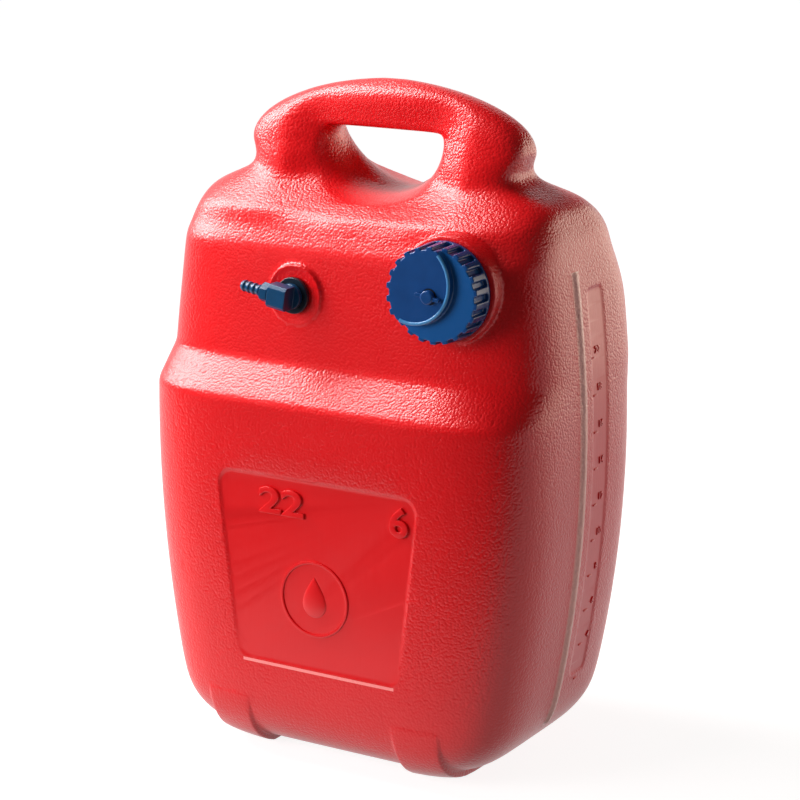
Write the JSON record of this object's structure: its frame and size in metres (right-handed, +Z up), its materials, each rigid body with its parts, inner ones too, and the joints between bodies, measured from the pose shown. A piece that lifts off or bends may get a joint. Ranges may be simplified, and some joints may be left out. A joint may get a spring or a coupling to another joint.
{
  "type": "portable outboard fuel tank",
  "caption": "Upright moulded plastic fuel tank with a moulded carrying handle, a screw filler cap with a vent screw, and a swivelling fuel outlet elbow with a pickup tube inside.",
  "frame": {"origin": "centre of the bounding box, on the floor the runners stand on", "axes": "+Z up, -Y out of the front where the cap and outlet are, +X to the right seen from the front"},
  "size_m": [0.3329, 0.2148, 0.5007],
  "materials": {
    "tank_plastic": "blow-moulded polyethylene with a fine leather grain",
    "cap_plastic": "injection-moulded polypropylene, satin",
    "fitting_plastic": "injection-moulded nylon, satin",
    "seal_rubber": "moulded nitrile rubber",
    "tube_rubber": "extruded fuel hose",
    "inner_plastic": "natural polyethylene",
    "stainless": "stainless steel, as rolled"
  },
  "bodies": {
    "tank": {"tank_shell": "tank_plastic", "gland_bush": "fitting_plastic", "gland_outer_washer": "seal_rubber", "gland_inner_washer": "seal_rubber", "gland_nut": "fitting_plastic", "pickup_tube": "tube_rubber", "tube_clamp": "stainless", "strainer_body": "inner_plastic", "strainer_gauze": "stainless", "strainer_end_cap": "inner_plastic"},
    "cap_seal": {"cap_gasket": "seal_rubber"},
    "cap": {"cap_body": "cap_plastic", "cap_baffle": "inner_plastic"},
    "vent_rise": {"vent_seal": "seal_rubber"},
    "vent": {"vent_screw": "cap_plastic", "vent_clip": "stainless"},
    "elbow": {"outlet_elbow": "fitting_plastic", "elbow_snap_ring": "stainless", "elbow_o_ring": "seal_rubber", "hose_barb": "fitting_plastic", "barb_seal": "seal_rubber"}
  },
  "joints": [
    {"name": "cap_lift", "type": "slide", "parent": "tank", "child": "cap_seal", "axis": [0, -1, 0], "range_m": [0, 0.0135]},
    {"name": "cap_turn", "type": "hinge", "parent": "cap_seal", "child": "cap", "pos_m": [0.0921, -0.07971, 0.3687], "axis": [0, -1, 0], "range_deg": [0, 1080]},
    {"name": "vent_lift", "type": "slide", "parent": "cap", "child": "vent_rise", "axis": [0, -1, 0], "range_m": [0, 0.0025]},
    {"name": "vent_turn", "type": "hinge", "parent": "vent_rise", "child": "vent", "pos_m": [0.0921, -0.07971, 0.3687], "axis": [0, -1, 0], "range_deg": [0, 720]},
    {"name": "elbow_swivel", "type": "hinge", "parent": "tank", "child": "elbow", "pos_m": [-0.0326, -0.08053, 0.3525], "axis": [0, -1, 0], "continuous": true}
  ],
  "couplings": [
    {"joint": "cap_lift", "follows": "cap_turn", "m_per_rad": 0.0007162},
    {"joint": "vent_turn", "follows": "vent_lift", "rad_per_m": 5026.5}
  ]
}
